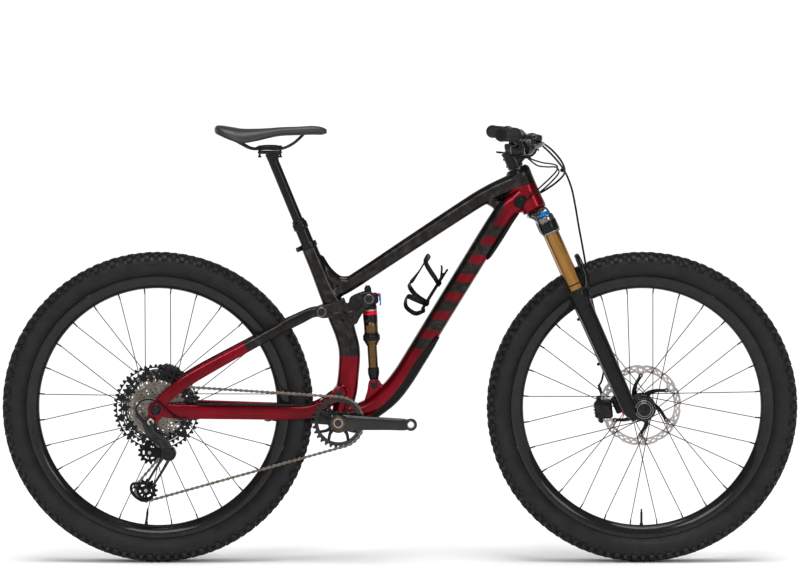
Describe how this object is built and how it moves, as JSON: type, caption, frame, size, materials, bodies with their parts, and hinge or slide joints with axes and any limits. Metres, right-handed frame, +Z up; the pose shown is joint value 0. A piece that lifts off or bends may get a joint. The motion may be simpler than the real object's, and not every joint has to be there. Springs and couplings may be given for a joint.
{
  "type": "full-suspension mountain bike",
  "caption": "Full-suspension trail mountain bike with telescopic fork, linkage-driven rear shock, disc brakes, dropper post, single-ring drivetrain and bottle cage, no pedals.",
  "frame": {"origin": "on the ground, midway along the bike's length, on its middle plane", "axes": "+X forward, +Y to the rider's left (the drive side is -Y), +Z up; the tyres stand on Z = 0"},
  "size_m": [1.9188, 0.791, 1.0543],
  "materials": {
    "smoky_carbon": "gloss",
    "deep_red": "gloss",
    "satin_black": "satin",
    "rim_carbon": "satin",
    "tyre_rubber": "matt",
    "grip_rubber": "matt",
    "gold_coating": "gloss",
    "steel": "brushed",
    "chain_steel": "satin",
    "dark_anodised": "satin",
    "blue_anodised": "gloss",
    "saddle_cover": "matt"
  },
  "bodies": {
    "frame": {"front_frame": "smoky_carbon", "bottom_bracket": "satin_black", "seat_clamp": "satin_black", "post_outer": "satin_black", "rocker_axle": "dark_anodised", "down_tube_guard": "satin_black", "bottle_cage": "satin_black"},
    "steering": {"fork_crown": "satin_black", "stanchion_right": "gold_coating", "stanchion_left": "gold_coating", "stem": "satin_black", "handlebar": "satin_black", "grip_right": "grip_rubber", "grip_left": "grip_rubber", "brake_body_right": "dark_anodised", "brake_body_left": "dark_anodised", "shifter_body": "dark_anodised", "dropper_remote_body": "dark_anodised", "hose_rear_brake": "satin_black", "hose_front_brake": "satin_black", "housing_shift": "satin_black", "housing_dropper": "satin_black"},
    "fork_dial": {"fork_dial": "blue_anodised"},
    "brake_lever_right": {"brake_lever_right": "dark_anodised"},
    "brake_lever_left": {"brake_lever_left": "dark_anodised"},
    "shift_lever": {"shift_lever": "satin_black"},
    "release_lever": {"release_lever": "satin_black"},
    "dropper_lever": {"dropper_lever": "satin_black"},
    "fork_lowers": {"fork_lowers": "satin_black", "front_axle": "dark_anodised", "caliper_front": "dark_anodised"},
    "front_wheel": {"tyre_front": "tyre_rubber", "rim_front": "rim_carbon", "hub_front": "dark_anodised", "rotor_front": "steel"},
    "swingarm": {"chainstay": "deep_red", "chain": "chain_steel"},
    "seatstays": {"seatstay": "deep_red", "rear_axle": "dark_anodised", "caliper_rear": "dark_anodised", "derailleur_body": "dark_anodised", "housing_derailleur": "satin_black"},
    "rocker": {"rocker": "smoky_carbon"},
    "shock_lower": {"shock_shaft": "gold_coating"},
    "shock_upper": {"shock_can": "satin_black"},
    "shock_lever": {"shock_lever": "blue_anodised"},
    "rear_wheel": {"tyre_rear": "tyre_rubber", "rim_rear": "rim_carbon", "hub_rear": "dark_anodised", "rotor_rear": "steel"},
    "cassette": {"cassette": "steel"},
    "crankset": {"crank_right": "dark_anodised", "crank_left": "dark_anodised", "chainring": "dark_anodised"},
    "derailleur_cage": {"derailleur_cage": "dark_anodised"},
    "guide_pulley": {"guide_pulley": "satin_black"},
    "tension_pulley": {"tension_pulley": "satin_black"},
    "saddle": {"post_inner": "satin_black", "saddle_rails": "dark_anodised", "saddle": "saddle_cover"}
  },
  "joints": [
    {"name": "steer", "type": "hinge", "parent": "frame", "child": "steering", "pos_m": [0.305, 0, 0.89672], "axis": [-0.4067, 0, 0.9135], "range_deg": [-58, 58], "deforming": ["hose_rear_brake", "housing_shift", "housing_dropper"]},
    {"name": "fork_travel", "type": "slide", "parent": "steering", "child": "fork_lowers", "axis": [-0.4067, 0, 0.9135], "range_m": [0, 0.14], "stiffness_N_per_m": 3500, "springref_m": -0.035, "deforming": ["hose_front_brake"]},
    {"name": "front_wheel_spin", "type": "hinge", "parent": "fork_lowers", "child": "front_wheel", "pos_m": [0.585, 0, 0.376], "axis": [0, 1, 0], "continuous": true},
    {"name": "fork_dial_turn", "type": "hinge", "parent": "steering", "child": "fork_dial", "pos_m": [0.34394, -0.07, 0.84072], "axis": [-0.4067, 0, 0.9135], "range_deg": [0, 90]},
    {"name": "brake_lever_right_pull", "type": "hinge", "parent": "steering", "child": "brake_lever_right", "pos_m": [0.325, -0.226, 1.017], "axis": [0, 0, -1], "range_deg": [0, 12], "stiffness_Nm_per_rad": 2, "springref_deg": -5.73},
    {"name": "brake_lever_left_pull", "type": "hinge", "parent": "steering", "child": "brake_lever_left", "pos_m": [0.325, 0.226, 1.017], "axis": [0, 0, 1], "range_deg": [0, 12], "stiffness_Nm_per_rad": 2, "springref_deg": -5.73},
    {"name": "shift_lever_push", "type": "hinge", "parent": "steering", "child": "shift_lever", "pos_m": [0.2752, -0.23, 0.98974], "axis": [0, 0, -1], "range_deg": [0, 30], "stiffness_Nm_per_rad": 0.3, "springref_deg": -5.73},
    {"name": "release_lever_pull", "type": "hinge", "parent": "steering", "child": "release_lever", "pos_m": [0.2752, -0.23, 0.98434], "axis": [0, 0, 1], "range_deg": [0, 12], "stiffness_Nm_per_rad": 0.3, "springref_deg": -5.73},
    {"name": "dropper_lever_push", "type": "hinge", "parent": "steering", "child": "dropper_lever", "pos_m": [0.2752, 0.23, 0.98974], "axis": [0, 0, 1], "range_deg": [0, 25], "stiffness_Nm_per_rad": 0.3, "springref_deg": -5.73},
    {"name": "swingarm_pivot", "type": "hinge", "parent": "frame", "child": "swingarm", "pos_m": [-0.146, 0, 0.411], "axis": [0, 1, 0], "range_deg": [0, 17.02], "stiffness_Nm_per_rad": 380, "springref_deg": -9.17, "deforming": ["chain"]},
    {"name": "stay_pivot", "type": "hinge", "parent": "swingarm", "child": "seatstays", "pos_m": [-0.585, 0, 0.376], "axis": [0, 1, 0], "range_deg": [-7.34, 0]},
    {"name": "rocker_pivot", "type": "hinge", "parent": "frame", "child": "rocker", "pos_m": [-0.1155, 0, 0.5945], "axis": [0, 1, 0], "range_deg": [0, 55.98]},
    {"name": "shock_pivot", "type": "hinge", "parent": "frame", "child": "shock_lower", "pos_m": [-0.062, 0, 0.43], "axis": [0, 1, 0], "range_deg": [0, 7.27]},
    {"name": "shock_stroke", "type": "slide", "parent": "shock_lower", "child": "shock_upper", "axis": [0.0596, 0, -0.9982], "range_m": [0, 0.053]},
    {"name": "shock_lever_turn", "type": "hinge", "parent": "shock_upper", "child": "shock_lever", "pos_m": [-0.05112, 0, 0.63889], "axis": [0.9982, 0, 0.0596], "range_deg": [-30, 30]},
    {"name": "rear_wheel_spin", "type": "hinge", "parent": "swingarm", "child": "rear_wheel", "pos_m": [-0.585, 0, 0.376], "axis": [0, 1, 0], "continuous": true},
    {"name": "cassette_spin", "type": "hinge", "parent": "swingarm", "child": "cassette", "pos_m": [-0.585, 0, 0.376], "axis": [0, 1, 0], "continuous": true},
    {"name": "crank_spin", "type": "hinge", "parent": "frame", "child": "crankset", "pos_m": [-0.148, 0, 0.344], "axis": [0, 1, 0], "continuous": true},
    {"name": "cage_swing", "type": "hinge", "parent": "seatstays", "child": "derailleur_cage", "pos_m": [-0.5545, 0, 0.2705], "axis": [0, 1, 0], "range_deg": [-40, 10], "stiffness_Nm_per_rad": 0.6, "deforming": ["chain"]},
    {"name": "guide_pulley_spin", "type": "hinge", "parent": "derailleur_cage", "child": "guide_pulley", "pos_m": [-0.6027, 0, 0.2696], "axis": [0, 1, 0], "continuous": true},
    {"name": "tension_pulley_spin", "type": "hinge", "parent": "derailleur_cage", "child": "tension_pulley", "pos_m": [-0.6119, 0, 0.178], "axis": [0, 1, 0], "continuous": true},
    {"name": "dropper_post", "type": "slide", "parent": "frame", "child": "saddle", "axis": [-0.3811, 0, 0.9245], "range_m": [-0.15, 0]}
  ],
  "couplings": [
    {"joint": "stay_pivot", "follows": "swingarm_pivot", "ratio": -0.41963},
    {"joint": "rocker_pivot", "follows": "swingarm_pivot", "ratio": 3.2776},
    {"joint": "shock_pivot", "follows": "swingarm_pivot", "ratio": 0.4211},
    {"joint": "shock_stroke", "follows": "swingarm_pivot", "m_per_rad": 0.1766},
    {"joint": "cassette_spin", "follows": "crank_spin", "ratio": 1.0714},
    {"joint": "guide_pulley_spin", "follows": "crank_spin", "ratio": -2.3077},
    {"joint": "tension_pulley_spin", "follows": "crank_spin", "ratio": 2.3077}
  ]
}
